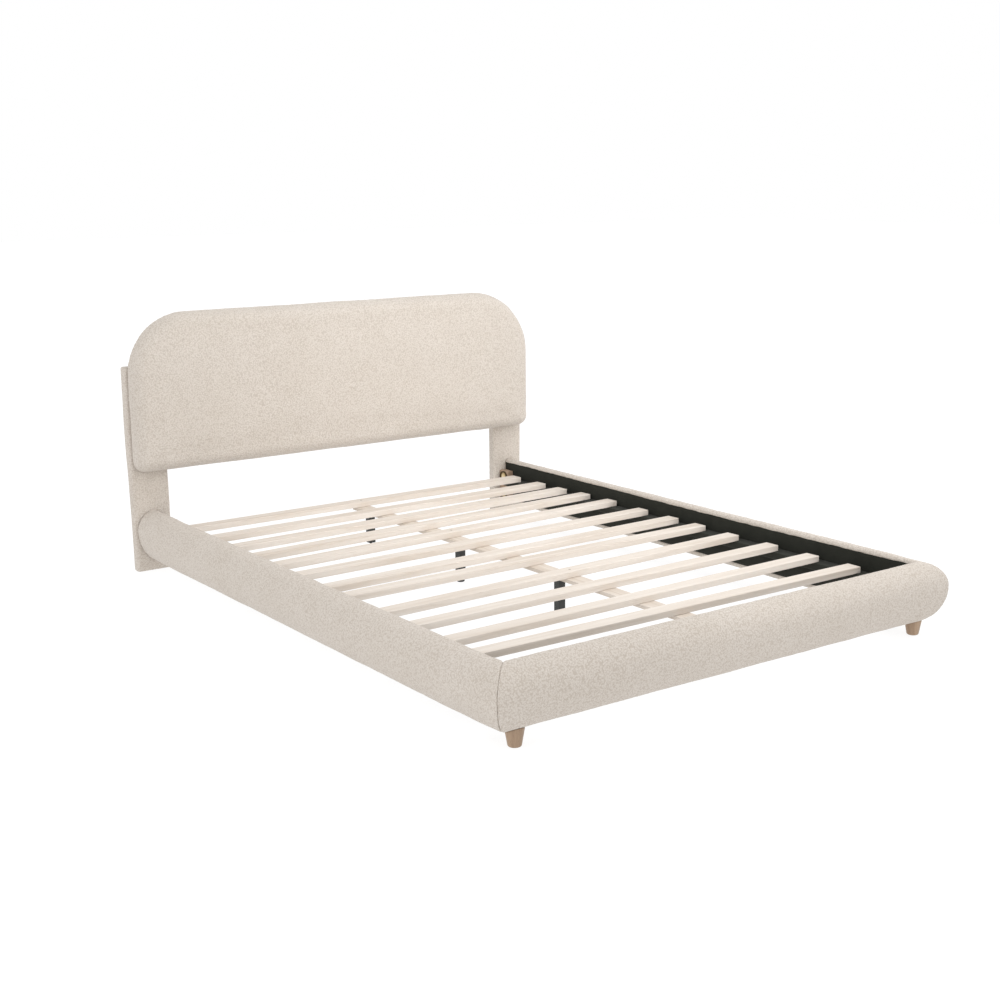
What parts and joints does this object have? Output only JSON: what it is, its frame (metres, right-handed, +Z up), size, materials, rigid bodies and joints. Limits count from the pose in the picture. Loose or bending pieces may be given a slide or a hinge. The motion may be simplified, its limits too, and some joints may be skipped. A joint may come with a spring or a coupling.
{
  "type": "upholstered bed",
  "caption": "Low bed frame with a padded, round-cornered headboard on two posts, rolled padded rails, cross slats on a centre beam with legs, and turned front feet.",
  "frame": {"origin": "bottom centre of the bed's box, on the floor", "axes": "+Z up, +Y towards the headboard, +X to the right as seen from the foot"},
  "size_m": [1.688, 2.223, 0.913],
  "materials": {
    "boucle": "cream boucle, nubby and matte",
    "lining": "black non-woven lining, matte",
    "plywood": "bare plywood",
    "slat_wood": "whitewashed, matte",
    "block_wood": "brown hardwood, satin",
    "foot_wood": "oiled beech, satin",
    "steel": "zinc plated",
    "brass": "polished",
    "black_metal": "black powder coat",
    "glide": "black moulded plastic"
  },
  "bodies": {
    "bed_frame": {"headboard_cushion": "boucle", "headboard_core": "plywood", "headboard_back_cloth": "lining", "headboard_post_left": "boucle", "headboard_post_right": "boucle", "panel_bolt_left_upper": "steel", "panel_bolt_left_lower": "steel", "panel_bolt_right_upper": "steel", "panel_bolt_right_lower": "steel", "rail_bolt_left_upper": "steel", "rail_bolt_left_lower": "steel", "rail_bolt_right_upper": "steel", "rail_bolt_right_lower": "steel", "side_rail_left_pad": "boucle", "side_rail_left_board": "plywood", "side_rail_left_lining": "lining", "side_rail_left_ledger": "lining", "side_rail_right_pad": "boucle", "side_rail_right_board": "plywood", "side_rail_right_lining": "lining", "side_rail_right_ledger": "lining", "foot_rail_pad": "boucle", "foot_rail_board": "plywood", "foot_rail_lining": "lining", "rail_end_block_left": "block_wood", "rail_end_block_right": "block_wood", "barrel_nut_left_upper": "brass", "barrel_nut_left_lower": "brass", "barrel_nut_right_upper": "brass", "barrel_nut_right_lower": "brass", "corner_block_left": "block_wood", "corner_block_right": "block_wood", "corner_bolt_left_side": "steel", "corner_bolt_left_foot": "steel", "corner_bolt_right_side": "steel", "corner_bolt_right_foot": "steel", "wooden_foot_left": "foot_wood", "wooden_foot_right": "foot_wood", "foot_stud_left": "steel", "foot_stud_right": "steel", "centre_beam": "slat_wood", "beam_bracket": "black_metal", "slat_01": "slat_wood", "slat_02": "slat_wood", "slat_03": "slat_wood", "slat_04": "slat_wood", "slat_05": "slat_wood", "slat_06": "slat_wood", "slat_07": "slat_wood", "slat_08": "slat_wood", "slat_09": "slat_wood", "slat_10": "slat_wood", "slat_11": "slat_wood", "slat_12": "slat_wood", "centre_leg_1": "black_metal", "centre_leg_2": "black_metal", "centre_leg_3": "black_metal"},
    "glide_1": {"levelling_glide_1": "glide"},
    "glide_2": {"levelling_glide_2": "glide"},
    "glide_3": {"levelling_glide_3": "glide"}
  },
  "joints": [
    {"name": "glide_1_height", "type": "slide", "parent": "bed_frame", "child": "glide_1", "axis": [0, 0, 1], "range_m": [0, 0.012]},
    {"name": "glide_2_height", "type": "slide", "parent": "bed_frame", "child": "glide_2", "axis": [0, 0, 1], "range_m": [0, 0.012]},
    {"name": "glide_3_height", "type": "slide", "parent": "bed_frame", "child": "glide_3", "axis": [0, 0, 1], "range_m": [0, 0.012]}
  ]
}
